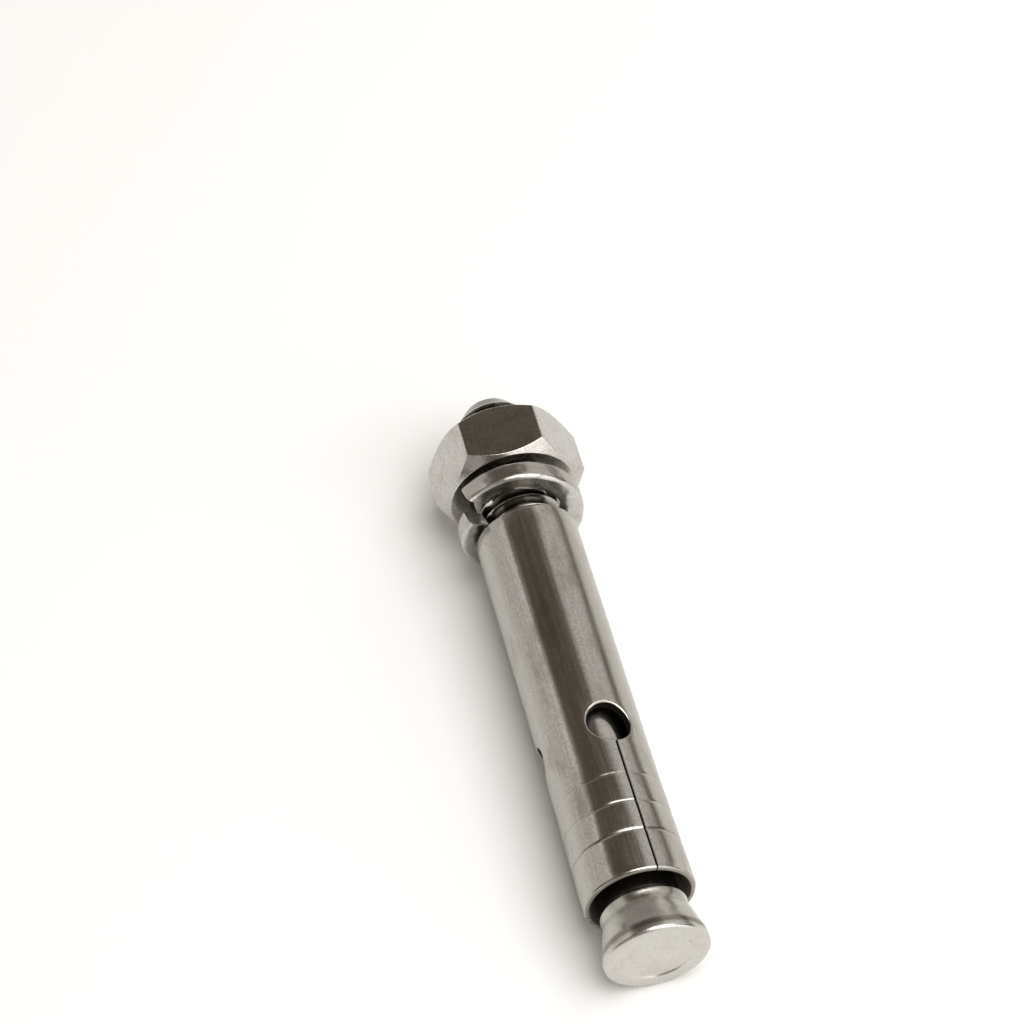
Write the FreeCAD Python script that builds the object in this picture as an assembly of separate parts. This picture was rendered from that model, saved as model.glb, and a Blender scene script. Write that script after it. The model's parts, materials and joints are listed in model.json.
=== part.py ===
"""Sleeve expansion anchor, M8 with a 10 mm sleeve, lying on a floor.

Four separate pieces: the cone bolt, the slotted sleeve, the split lock washer
and the hexagon nut. All sizes are in millimetres.

Every piece is drawn about one axis, the Y axis, with Y = 0 at the end face of
the cone and the nut towards +Y. Angles around the axis are measured from +Z
towards +X. The whole anchor is then tipped until the sleeve's mouth and the
nut both touch the floor, and moved so that the origin is at the bottom centre
of its bounding box, with +Z up.
"""
import FreeCAD
import Part
import math
import os

# Thread and shank
THREAD_RADIUS = 3.95            # crest of the M8 thread
THREAD_LENGTH = 30.95           # from the tip to the run-out
RUNOUT_LENGTH = 1.2
SHANK_STEP = 0.35               # the rolled shank is this much below the crest
TIP_STEP = 1.45                 # end face of the tip, below the crest
TIP_TAPER = 2.0                 # length of the tapered tip
TIP_STAND_OUT = 4.35            # tip past the nut

# Cone at the end of the stud
CONE_RADIUS = 4.87              # widest part
CONE_EDGE_ROUND = 0.70          # round between the cone and its end face
CONE_LAND = 0.15                # length of the nearly straight rim behind that round
CONE_LAND_FALL = 0.01           # how far the rim draws in over that length
NECK_STATION = 3.8              # narrowest part, where the flare has ended
NECK_STEP = 0.29                # neck above the plain shank
SHOULDER_STATION = 4.7          # slight swell behind the neck
SHOULDER_STEP = 0.35            # swell above the plain shank, and the round behind it
DISH_RADIUS = 3.35              # shallow dish in the end face
DISH_DEPTH = 0.20
DISH_SIDE = 0.45                # width of the sloping side of the dish

# Sleeve
CONE_SHOWING = 5.95             # end face of the cone to the mouth of the sleeve
SLEEVE_LENGTH = 41.95
SLEEVE_PLAY = 0.17              # between the sleeve's bore and the thread
SLEEVE_WALL = 0.88
MOUTH_FLARE = 0.17              # how far the leaves stand out at the mouth
LIP_ROUND = 0.28                # round on the outer edge of the mouth
LIP_FLAT = 0.23                 # flat ring between that round and the bore
MOUTH_TAPER = 3.2               # length of the widened bore at the mouth
TOP_CHAMFER = 0.12              # edge break at the nut end
LEAF_COUNT = 3
HOLE_RADIUS = 2.1               # relief hole at the root of each slit
HOLE_FROM_MOUTH = 16.15
HOLE_ANGLE = 21.2               # first hole, degrees from +Z towards +X
HOLE_EDGE = 0.14                # edge break around each hole
HOLE_TO_SPREAD = 0.6            # straight wall left below the holes
SLIT_WIDTH = 0.26
GROOVE_FROM_MOUTH = 4.26        # first of the rolled bands
GROOVE_SPACING = 3.05
GROOVE_COUNT = 3
GROOVE_WIDTH = 0.36
GROOVE_DEPTH = 0.09

# Split lock washer, lying loose between the sleeve and the nut
WASHER_PLAY = 0.25              # between the washer's bore and the thread
WASHER_SECTION = 2.1            # side of the square wire
WASHER_EDGE_ROUND = 0.45
WASHER_RISE = 2.35              # how far the two ends stand apart
WASHER_GAP = 0.5                # width of the cut
WASHER_CUT_ANGLE = 17.0         # slant of the cut
WASHER_GAP_ANGLE = -54.5        # degrees from +Z towards +X
WASHER_TO_SLEEVE = 0.5
WASHER_TO_NUT = 0.45

# Nut
NUT_ACROSS_FLATS = 13.0
NUT_HEIGHT = 6.3
NUT_FACE_STEP = 0.23            # flat ring on each face, inside the flats
NUT_CHAMFER_ANGLE = 42.0
NUT_THREAD_CLEARANCE = 0.05
NUT_COUNTERSINK = 0.35

# Sizes that follow
SHANK_RADIUS = THREAD_RADIUS - SHANK_STEP
NECK_RADIUS = SHANK_RADIUS + NECK_STEP
SHOULDER_RADIUS = SHANK_RADIUS + SHOULDER_STEP
BORE_RADIUS = THREAD_RADIUS + SLEEVE_PLAY
SLEEVE_RADIUS = BORE_RADIUS + SLEEVE_WALL
MOUTH_RADIUS = SLEEVE_RADIUS + MOUTH_FLARE
MOUTH_BORE_RADIUS = MOUTH_RADIUS - LIP_ROUND - LIP_FLAT
SPREAD_LENGTH = HOLE_FROM_MOUTH - HOLE_RADIUS - HOLE_EDGE - HOLE_TO_SPREAD
SLEEVE_TOP = CONE_SHOWING + SLEEVE_LENGTH
WASHER_LOW_END = SLEEVE_TOP + WASHER_TO_SLEEVE + WASHER_SECTION / 2
WASHER_BORE_RADIUS = THREAD_RADIUS + WASHER_PLAY
NUT_STATION = WASHER_LOW_END + WASHER_RISE + WASHER_SECTION / 2 + WASHER_TO_NUT
NUT_FACE_RADIUS = NUT_ACROSS_FLATS / 2 - NUT_FACE_STEP
NUT_BORE_RADIUS = THREAD_RADIUS + NUT_THREAD_CLEARANCE
BOLT_LENGTH = NUT_STATION + NUT_HEIGHT + TIP_STAND_OUT

AXIS = FreeCAD.Vector(0, 1, 0)
ORIGIN = FreeCAD.Vector(0, 0, 0)


def point(radius, station):
    """A point of a turned outline, in the plane X = 0 and above the axis."""
    return FreeCAD.Vector(0, station, radius)


def line(first, second):
    return Part.LineSegment(point(*first), point(*second)).toShape()


def curve(points):
    """A smooth curve through three or more outline points."""
    spline = Part.BSplineCurve()
    spline.interpolate([point(*p) for p in points])
    return spline.toShape()


def arc(first, middle, last):
    return Part.Arc(point(*first), point(*middle), point(*last)).toShape()


def turned(edges):
    """Solid made by turning a closed outline about the axis."""
    face = Part.Face(Part.Wire(edges))
    return face.revolve(ORIGIN, AXIS, 360)


def around(angle):
    """Direction square to the axis at an angle from +Z towards +X."""
    return FreeCAD.Vector(math.sin(math.radians(angle)), 0, math.cos(math.radians(angle)))


def make_cone_bolt():
    edge_turn = math.sqrt(0.5) * CONE_EDGE_ROUND
    edge_centre = (CONE_RADIUS - CONE_EDGE_ROUND, CONE_EDGE_ROUND)
    edge_middle = (edge_centre[0] + edge_turn, edge_centre[1] - edge_turn)
    flank_start = CONE_EDGE_ROUND + CONE_LAND
    flank_mean = (CONE_RADIUS + NECK_RADIUS) / 2
    flank_mean_station = flank_start + 0.30 * (NECK_STATION - flank_start)
    shoulder_turn = math.sqrt(0.5) * SHOULDER_STEP
    shoulder_middle = (SHANK_RADIUS + shoulder_turn, SHOULDER_STATION + shoulder_turn)
    shoulder_end = SHOULDER_STATION + SHOULDER_STEP
    tip_radius = THREAD_RADIUS - TIP_STEP
    tip_start = BOLT_LENGTH - TIP_TAPER
    thread_start = BOLT_LENGTH - THREAD_LENGTH
    edges = [
        line((0, DISH_DEPTH), (DISH_RADIUS - DISH_SIDE, DISH_DEPTH)),
        line((DISH_RADIUS - DISH_SIDE, DISH_DEPTH), (DISH_RADIUS, 0)),
        line((DISH_RADIUS, 0), (edge_centre[0], 0)),
        arc((edge_centre[0], 0), edge_middle, (CONE_RADIUS, CONE_EDGE_ROUND)),
        line((CONE_RADIUS, CONE_EDGE_ROUND), (CONE_RADIUS - CONE_LAND_FALL, flank_start)),
        curve([
            (CONE_RADIUS - CONE_LAND_FALL, flank_start),
            (flank_mean, flank_mean_station),
            (NECK_RADIUS, NECK_STATION),
            (SHOULDER_RADIUS, SHOULDER_STATION),
        ]),
        arc((SHOULDER_RADIUS, SHOULDER_STATION), shoulder_middle, (SHANK_RADIUS, shoulder_end)),
        line((SHANK_RADIUS, shoulder_end), (SHANK_RADIUS, thread_start - RUNOUT_LENGTH)),
        line((SHANK_RADIUS, thread_start - RUNOUT_LENGTH), (THREAD_RADIUS, thread_start)),
        line((THREAD_RADIUS, thread_start), (THREAD_RADIUS, tip_start)),
        line((THREAD_RADIUS, tip_start), (tip_radius, BOLT_LENGTH)),
        line((tip_radius, BOLT_LENGTH), (0, BOLT_LENGTH)),
        line((0, BOLT_LENGTH), (0, DISH_DEPTH)),
    ]
    return turned(edges)


def sleeve_outer_radius(from_mouth):
    """Outside of the sleeve: straight, then spreading below the relief holes."""
    if from_mouth >= SPREAD_LENGTH:
        return SLEEVE_RADIUS
    return SLEEVE_RADIUS + MOUTH_FLARE * (1 - from_mouth / SPREAD_LENGTH)


def is_hole_edge(place, directions, hole_station):
    """True for a point on the wall of one of the relief holes."""
    offset = place - AXIS * hole_station
    for way in directions:
        along = offset.dot(way)
        if along > 0 and abs((offset - way * along).Length - HOLE_RADIUS) < 0.01:
            return True
    return False


def make_sleeve():
    lip_turn = math.sqrt(0.5) * LIP_ROUND
    lip_centre = (MOUTH_RADIUS - LIP_ROUND, CONE_SHOWING + LIP_ROUND)
    lip_middle = (lip_centre[0] + lip_turn, lip_centre[1] - lip_turn)
    wall_start = (MOUTH_RADIUS, CONE_SHOWING + LIP_ROUND)
    outer = [
        line((MOUTH_BORE_RADIUS, CONE_SHOWING), (lip_centre[0], CONE_SHOWING)),
        arc((lip_centre[0], CONE_SHOWING), lip_middle, wall_start),
    ]
    here = wall_start
    for number in range(GROOVE_COUNT):
        middle = GROOVE_FROM_MOUTH + number * GROOVE_SPACING
        for offset, depth in ((-0.5, 0.0), (0.0, GROOVE_DEPTH), (0.5, 0.0)):
            from_mouth = middle + offset * GROOVE_WIDTH
            there = (sleeve_outer_radius(from_mouth) - depth, CONE_SHOWING + from_mouth)
            outer.append(line(here, there))
            here = there
    for there in (
        (SLEEVE_RADIUS, CONE_SHOWING + SPREAD_LENGTH),
        (SLEEVE_RADIUS, SLEEVE_TOP - TOP_CHAMFER),
        (SLEEVE_RADIUS - TOP_CHAMFER, SLEEVE_TOP),
        (BORE_RADIUS + TOP_CHAMFER, SLEEVE_TOP),
        (BORE_RADIUS, SLEEVE_TOP - TOP_CHAMFER),
        (BORE_RADIUS, CONE_SHOWING + MOUTH_TAPER),
        (MOUTH_BORE_RADIUS, CONE_SHOWING),
    ):
        outer.append(line(here, there))
        here = there
    # The seam of the turned solid goes halfway between two holes
    sleeve = turned(outer)
    sleeve.rotate(ORIGIN, AXIS, HOLE_ANGLE + 180.0 / LEAF_COUNT)
    hole_station = CONE_SHOWING + HOLE_FROM_MOUTH
    reach = MOUTH_RADIUS + 1.0
    directions = [around(HOLE_ANGLE + number * 360.0 / LEAF_COUNT) for number in range(LEAF_COUNT)]
    hole_centre = AXIS * hole_station
    holes = [Part.makeCylinder(HOLE_RADIUS, reach, hole_centre, way) for way in directions]
    sleeve = sleeve.cut(holes).Solids[0]

    # Edge break around each hole, on the outer surface
    rims = []
    for edge in sleeve.Edges:
        middle = edge.valueAt((edge.FirstParameter + edge.LastParameter) / 2)
        from_axis = math.hypot(middle.x, middle.z)
        near_hole = abs(middle.y - hole_station) < HOLE_RADIUS + 0.01
        if near_hole and from_axis > SLEEVE_RADIUS - 0.01 and is_hole_edge(middle, directions, hole_station):
            rims.append(edge)
    sleeve = sleeve.makeChamfer(HOLE_EDGE, rims)

    slits = []
    for number in range(LEAF_COUNT):
        slit = Part.makeBox(SLIT_WIDTH, HOLE_FROM_MOUTH + 1.0, reach)
        slit.translate(FreeCAD.Vector(-SLIT_WIDTH / 2, CONE_SHOWING - 1.0, 0))
        slit.rotate(ORIGIN, AXIS, HOLE_ANGLE + number * 360.0 / LEAF_COUNT)
        slits.append(slit)
    return sleeve.cut(slits).Solids[0]


def make_lock_washer():
    """Square wire wound one turn to the left, with a slanted cut.

    It is drawn about the Z axis with its cone-side end at angle 0 and height 0,
    then turned onto the anchor's axis.
    """
    half = WASHER_SECTION / 2
    flat = half - WASHER_EDGE_ROUND
    corner = flat + WASHER_EDGE_ROUND * math.sqrt(0.5)
    mean_radius = WASHER_BORE_RADIUS + half
    gap_angle = math.degrees(WASHER_GAP / mean_radius)
    slant = half * math.tan(math.radians(WASHER_CUT_ANGLE))
    stock = slant + 0.05        # spare wire beyond each slanted face
    stock_angle = math.degrees(stock / mean_radius)
    wound_angle = 360.0 - gap_angle
    drawn_angle = wound_angle + 2 * stock_angle
    pitch = WASHER_RISE * 360.0 / wound_angle

    def wire_point(out, up):
        return FreeCAD.Vector(mean_radius + out, 0, up)

    section = []
    for quarter in range(4):
        turn = math.radians(90 * quarter)

        def turned_point(out, up, turn=turn):
            return wire_point(
                out * math.cos(turn) - up * math.sin(turn),
                out * math.sin(turn) + up * math.cos(turn),
            )

        side = (turned_point(half, -flat), turned_point(half, flat))
        section.append(Part.LineSegment(*side).toShape())
        bend = (side[1], turned_point(corner, corner), turned_point(flat, half))
        section.append(Part.Arc(*bend).toShape())
    path = Part.makeHelix(pitch, pitch * drawn_angle / 360, mean_radius, 0, True)
    washer = Part.Wire(path.Edges).makePipeShell([Part.Wire(section)], True, True)
    washer.rotate(ORIGIN, FreeCAD.Vector(0, 0, 1), stock_angle)
    washer.translate(FreeCAD.Vector(0, 0, -pitch * stock_angle / 360))

    # The two slanted faces: at each end a leaning block takes off the spare wire,
    # and is no taller than the wire, so that it misses the other end
    tall = half + 0.08
    lean = tall * math.tan(math.radians(WASHER_CUT_ANGLE))
    wide = 2 * slant + 0.25
    cuts = []
    for angle, height, low_side in ((0.0, 0.0, 0.0), (gap_angle, WASHER_RISE, -wide)):
        inside = WASHER_BORE_RADIUS - 0.5
        corners = [
            FreeCAD.Vector(inside, low_side + lean, -tall),
            FreeCAD.Vector(inside, low_side + wide + lean, -tall),
            FreeCAD.Vector(inside, low_side + wide - lean, tall),
            FreeCAD.Vector(inside, low_side - lean, tall),
        ]
        side = Part.Face(Part.makePolygon(corners + corners[:1]))
        block = side.extrude(FreeCAD.Vector(WASHER_SECTION + 1.0, 0, 0))
        block.rotate(ORIGIN, FreeCAD.Vector(0, 0, 1), angle)
        block.translate(FreeCAD.Vector(0, 0, height))
        cuts.append(block)
    washer = washer.cut(cuts).Solids[0]

    # Onto the anchor's axis, with its low end over the sleeve
    washer.rotate(ORIGIN, FreeCAD.Vector(1, 0, 0), -90)
    washer.rotate(ORIGIN, AXIS, WASHER_GAP_ANGLE - gap_angle / 2 - 90)
    washer.translate(AXIS * WASHER_LOW_END)
    return washer


def make_nut():
    """Hexagon with both faces chamfered at the corners, one flat facing up."""
    corner_radius = NUT_ACROSS_FLATS / 2 / math.cos(math.radians(30))
    corners = []
    for number in range(7):
        corners.append(around(30 + 60 * number) * corner_radius + AXIS * NUT_STATION)
    prism = Part.Face(Part.makePolygon(corners)).extrude(AXIS * NUT_HEIGHT)

    near = NUT_STATION
    far = NUT_STATION + NUT_HEIGHT
    overhang = corner_radius + 0.5 - NUT_FACE_RADIUS
    drop = overhang * math.tan(math.radians(NUT_CHAMFER_ANGLE))
    wide = NUT_FACE_RADIUS + overhang
    middle = (NUT_FACE_RADIUS + wide) / 2
    bevel = NUT_COUNTERSINK
    edges = [
        line((NUT_BORE_RADIUS + bevel, near), (NUT_FACE_RADIUS, near)),
        curve([(NUT_FACE_RADIUS, near), (middle, near + drop / 2), (wide, near + drop)]),
        line((wide, near + drop), (wide, far - drop)),
        curve([(wide, far - drop), (middle, far - drop / 2), (NUT_FACE_RADIUS, far)]),
        line((NUT_FACE_RADIUS, far), (NUT_BORE_RADIUS + bevel, far)),
        line((NUT_BORE_RADIUS + bevel, far), (NUT_BORE_RADIUS, far - bevel)),
        line((NUT_BORE_RADIUS, far - bevel), (NUT_BORE_RADIUS, near + bevel)),
        line((NUT_BORE_RADIUS, near + bevel), (NUT_BORE_RADIUS + bevel, near)),
    ]
    return prism.common(turned(edges)).Solids[0]


# Resting attitude: the floor touches the mouth of the sleeve and the nearest
# point of the nut's lower flat
nut_flat = NUT_ACROSS_FLATS / 2
nut_flat_start = NUT_STATION + (nut_flat - NUT_FACE_RADIUS) * math.tan(math.radians(NUT_CHAMFER_ANGLE))
rest_rise = nut_flat - MOUTH_RADIUS
rest_run = nut_flat_start - (CONE_SHOWING + LIP_ROUND)
REST_ANGLE = math.degrees(math.atan(rest_rise / rest_run))

pieces = {
    "cone_bolt": make_cone_bolt(),
    "sleeve": make_sleeve(),
    "lock_washer": make_lock_washer(),
    "nut": make_nut(),
}

for piece in pieces.values():
    piece.rotate(ORIGIN, FreeCAD.Vector(1, 0, 0), REST_ANGLE)

box = Part.makeCompound(list(pieces.values())).optimalBoundingBox(False, False)
to_origin = FreeCAD.Vector(0, -(box.YMin + box.YMax) / 2, -box.ZMin)

os.makedirs("parts", exist_ok=True)
for name, piece in pieces.items():
    piece.translate(to_origin)
    piece.exportStep("parts/" + name + ".step")
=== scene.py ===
"""Finish of a stainless steel sleeve anchor that lies on a pale floor.

Each piece is drawn in millimetres about the anchor's own axis: Y runs from the
end face of the cone to the tip of the stud, and angles around it go from +Z
towards +X. in_place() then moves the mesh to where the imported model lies, in
metres, so every piece sits on its CAD body and its object stays at the origin.
"""
import bpy
import bmesh
import json
import math
from mathutils import Matrix, Vector


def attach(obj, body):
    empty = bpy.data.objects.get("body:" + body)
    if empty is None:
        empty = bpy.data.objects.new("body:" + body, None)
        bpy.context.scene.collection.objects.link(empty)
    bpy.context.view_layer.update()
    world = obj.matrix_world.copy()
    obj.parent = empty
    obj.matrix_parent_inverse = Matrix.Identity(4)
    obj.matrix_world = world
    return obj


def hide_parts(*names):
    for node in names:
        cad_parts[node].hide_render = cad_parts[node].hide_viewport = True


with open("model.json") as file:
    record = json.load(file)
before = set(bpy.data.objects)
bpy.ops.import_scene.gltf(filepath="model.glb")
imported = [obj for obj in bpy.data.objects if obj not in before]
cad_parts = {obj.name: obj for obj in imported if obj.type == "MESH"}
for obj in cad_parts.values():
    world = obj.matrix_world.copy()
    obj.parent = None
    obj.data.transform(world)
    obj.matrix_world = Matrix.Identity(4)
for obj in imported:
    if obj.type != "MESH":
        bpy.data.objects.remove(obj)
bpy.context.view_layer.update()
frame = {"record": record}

# Sizes in millimetres. A station is a place along the axis, measured from the end
# face of the cone. The sizes are those of the solids, unless a comment says otherwise.

# Stud, with an M8 thread
CREST_RADIUS = 3.95
ROOT_RADIUS = 3.27
PITCH = 1.25
THREAD_FADE = 2.4               # length over which the thread grows to its full height
STUD_LENGTH = 63.95
THREAD_LENGTH = 30.95
RUNOUT_LENGTH = 1.2
SHANK_RADIUS = 3.60
TIP_STEP = 1.45                 # end face of the tip, below the crest
TIP_TAPER = 2.0                 # length of the tapered tip
THREAD_START = STUD_LENGTH - THREAD_LENGTH

# Cone end of the stud. Its edge round, flare, neck and shoulder are fuller than the solid's
CONE_RADIUS = 4.87              # widest part of the rim
CONE_FACE_RADIUS = 4.16         # flat end face, inside its edge round
CONE_BARREL = 0.55              # station of the widest part of the rim
RIM_FALL = 0.06                 # how far the rim draws in on either side of that
FLARE_TOP_RADIUS = 4.62
FLARE_TOP = 1.8
NECK_RADIUS = 3.97              # narrowest part
NECK_STATION = 4.15
SHOULDER_RADIUS = 4.02          # slight swell behind the neck
SHOULDER_STATION = 4.7
SHOULDER_END = 5.05
DISH_RADIUS = 3.35              # shallow dish in the end face
DISH_DEPTH = 0.20
DISH_SIDE = 0.45                # width of the sloping side of the dish

# Sleeve
MOUTH_STATION = 5.95
SLEEVE_LENGTH = 41.95
SLEEVE_RADIUS = 5.0
BORE_RADIUS = 4.12
MOUTH_FLARE = 0.17              # how far the leaves stand out at the mouth
MOUTH_TAPER = 3.2               # length of the widened bore at the mouth
LIP_ROUND = 0.28                # round on the outer edge of the mouth
LIP_FLAT = 0.23                 # flat ring between that round and the bore
TOP_CHAMFER = 0.12
LEAVES = 3
HOLE_RADIUS = 2.1               # relief hole at the root of each slit
HOLE_FROM_MOUTH = 16.15
HOLE_ANGLE = 21.2               # first hole, degrees from +Z towards +X
HOLE_EDGE = 0.14                # edge break around each hole
BLOCK_ANGLE = 34.0              # half width, in degrees, of the wall drawn around a hole
SPREAD_LENGTH = 13.31           # from the mouth to where the leaves stop spreading
SLIT_WIDTH = 0.15               # the solids have 0.26
SLIT_EDGE = 0.05                # edge break along each slit
GROOVES_FROM_MOUTH = (4.26, 7.31, 10.36)
GROOVE_WIDTH = 0.36
GROOVE_DEPTHS = (0.09, 0.07, 0.055)     # fainter toward the holes; the solids have 0.09
BAND_CROWN = 0.018              # each rolled band is this much fuller at its middle

# Split lock washer, wound from a rounded square wire
WASHER_BORE = 4.2
WASHER_SECTION = 2.1
WASHER_ROUND = 0.45
WASHER_RISE = 2.35              # how far the two ends stand apart
WASHER_GAP = 0.5                # width of the cut
WASHER_CUT_ANGLE = 17.0         # slant of the cut
WASHER_GAP_ANGLE = -54.5        # middle of the cut, degrees from +Z towards +X
WASHER_LOW_END = 49.45          # station of the wire's middle at its low end
WASHER_CRUMPLE = 0.16           # how far the sheared ends are torn
CAP_ROWS = 6                    # rows of points that close each end of the wire
WIRE_ROWS = 156                 # rows of points along the wire

# Nut
ACROSS_FLATS = 13.0
NUT_HEIGHT = 6.3
NUT_STATION = 53.3              # its near face
NUT_FACE_RADIUS = 6.27          # flat part of each face
NUT_CHAMFER_ANGLE = 42.0
NUT_CORNER_ROUND = 0.18
NUT_COUNTERSINK_RADIUS = 4.35
NUT_MINOR_RADIUS = 3.40         # crest of the nut's thread
NUT_MAJOR_RADIUS = 4.03         # root of the nut's thread
NUT_THREAD_FADE = 0.001         # at full height at once, since the countersinks cut it

AROUND = 96                     # columns around the axis, shared by all threads


def anchor_axis():
    """Matrix from the anchor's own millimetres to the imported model's metres."""
    joints = frame["record"]["behaviour"]["joints"]
    turn = next(joint for joint in joints if joint["name"] == "nut_turn")
    along = Vector(turn["axis"]).normalized()
    across = Vector((1, 0, 0))
    up = across.cross(along)
    centre = Vector(turn["pos_m"]) - along * (NUT_STATION + NUT_HEIGHT / 2) / 1000
    turned = Matrix((across, along, up)).transposed().to_4x4()
    return Matrix.Translation(centre) @ turned @ Matrix.Scale(0.001, 4)


TO_ROW = anchor_axis()


def polar(radius, angle, station):
    """A point at a radius and an angle in radians, at a station on the axis."""
    return (radius * math.sin(angle), station, radius * math.cos(angle))


def in_place(mesh, name, body, material_slot, *nodes, sharp=38.0):
    """Turns a finished mesh into a piece that rides on its body."""
    mesh.transform(TO_ROW)
    mesh.name = name
    mesh.shade_smooth()
    mesh.set_sharp_from_angle(angle=math.radians(sharp))
    piece = bpy.data.objects.new(name, mesh)
    bpy.context.scene.collection.objects.link(piece)
    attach(piece, body)
    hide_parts(*nodes)
    return piece


def made_mesh(points, faces, name):
    """Mesh from lists of points and faces."""
    mesh = bpy.data.meshes.new(name)
    mesh.from_pydata(points, [], faces)
    mesh.update()
    return mesh


def closed(mesh):
    """Merges doubles and turns all faces outwards."""
    shell = bmesh.new()
    shell.from_mesh(mesh)
    bmesh.ops.remove_doubles(shell, verts=shell.verts, dist=1e-4)
    bmesh.ops.dissolve_degenerate(shell, edges=shell.edges, dist=1e-5)
    bmesh.ops.recalc_face_normals(shell, faces=shell.faces)
    open_edges = sum(1 for edge in shell.edges if not edge.is_manifold)
    if open_edges:
        print("open edges in", mesh.name, open_edges)
    shell.to_mesh(mesh)
    shell.free()
    return mesh


def node(tree, kind, inputs=None, **settings):
    """Adds a node with its settings; each input takes a value, a node or a socket."""
    made = tree.nodes.new(kind)
    for name, value in settings.items():
        setattr(made, name, value)
    for key, value in (inputs or {}).items():
        if isinstance(value, bpy.types.Node):
            value = value.outputs[0]
        if isinstance(value, bpy.types.NodeSocket):
            tree.links.new(value, made.inputs[key])
        else:
            made.inputs[key].default_value = value
    return made


def new_tree(name, sizes):
    """Geometry tree with a mesh input, named sizes and a material."""
    tree = bpy.data.node_groups.new(name, "GeometryNodeTree")
    face = tree.interface
    face.new_socket("Geometry", in_out="INPUT", socket_type="NodeSocketGeometry")
    for size in sizes:
        kind = "NodeSocketInt" if size.startswith("Number") else "NodeSocketFloat"
        face.new_socket(size, in_out="INPUT", socket_type=kind)
    face.new_socket("Material", in_out="INPUT", socket_type="NodeSocketMaterial")
    face.new_socket("Geometry", in_out="OUTPUT", socket_type="NodeSocketGeometry")
    return tree, node(tree, "NodeGroupInput")


def worked_out(tree, known, lines):
    """Adds a line of arithmetic per entry: a name, an operation and its terms.

    SMOOTHSTEP and LINEAR carry a value over from the range of the next two terms
    to the range of the last two.
    """
    for name, operation, *terms in lines:
        inputs = {place: known.get(term, term) for place, term in enumerate(terms)}
        if operation in ("SMOOTHSTEP", "LINEAR"):
            known[name] = node(tree, "ShaderNodeMapRange", inputs, interpolation_type=operation)
        else:
            known[name] = node(tree, "ShaderNodeMath", inputs, operation=operation)
    return known


def end_tree(tree, start, result):
    """Closes a tree with Realize Instances and Set Material."""
    real = node(tree, "GeometryNodeRealizeInstances", {0: result})
    merged = node(tree, "GeometryNodeMergeByDistance", {"Geometry": real, "Distance": 0.0004})
    dressed = node(tree, "GeometryNodeSetMaterial",
                   {"Geometry": merged, "Material": start.outputs["Material"]})
    node(tree, "NodeGroupOutput", {0: dressed})


def grown(tree, mesh, sizes, material):
    """Plain mesh that a tree makes from a starting mesh and its sizes."""
    carrier = bpy.data.objects.new("carrier", mesh)
    bpy.context.scene.collection.objects.link(carrier)
    modifier = carrier.modifiers.new("grow", "NODES")
    modifier.node_group = tree
    for item in tree.interface.items_tree:
        if item.in_out == "INPUT" and item.name in sizes:
            modifier[item.identifier] = sizes[item.name]
        elif item.in_out == "INPUT" and item.name == "Material":
            modifier[item.identifier] = material
    reading = bpy.context.evaluated_depsgraph_get()
    result = bpy.data.meshes.new_from_object(carrier.evaluated_get(reading))
    carrier.modifiers.remove(modifier)
    bpy.data.objects.remove(carrier)
    return result


def ring_tree():
    """Repeats a piece around the axis, such as the sleeve's leaves or the nut's flats."""
    tree, start = new_tree("repeat_around_axis", ["Number", "First angle"])
    count = start.outputs["Number"]
    points = node(tree, "GeometryNodePoints", {"Count": count})
    index = node(tree, "GeometryNodeInputIndex")
    known = {"index": index, "count": count, "first": start.outputs["First angle"]}
    worked_out(tree, known, [
        ("share", "DIVIDE", "index", "count"),
        ("step", "MULTIPLY", "share", math.tau),
        ("angle", "ADD", "step", "first"),
    ])
    turn = node(tree, "ShaderNodeCombineXYZ", {"Y": known["angle"]})
    copies = node(tree, "GeometryNodeInstanceOnPoints", {
        "Points": points, "Instance": start.outputs["Geometry"], "Rotation": turn})
    end_tree(tree, start, copies)
    return tree


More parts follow.
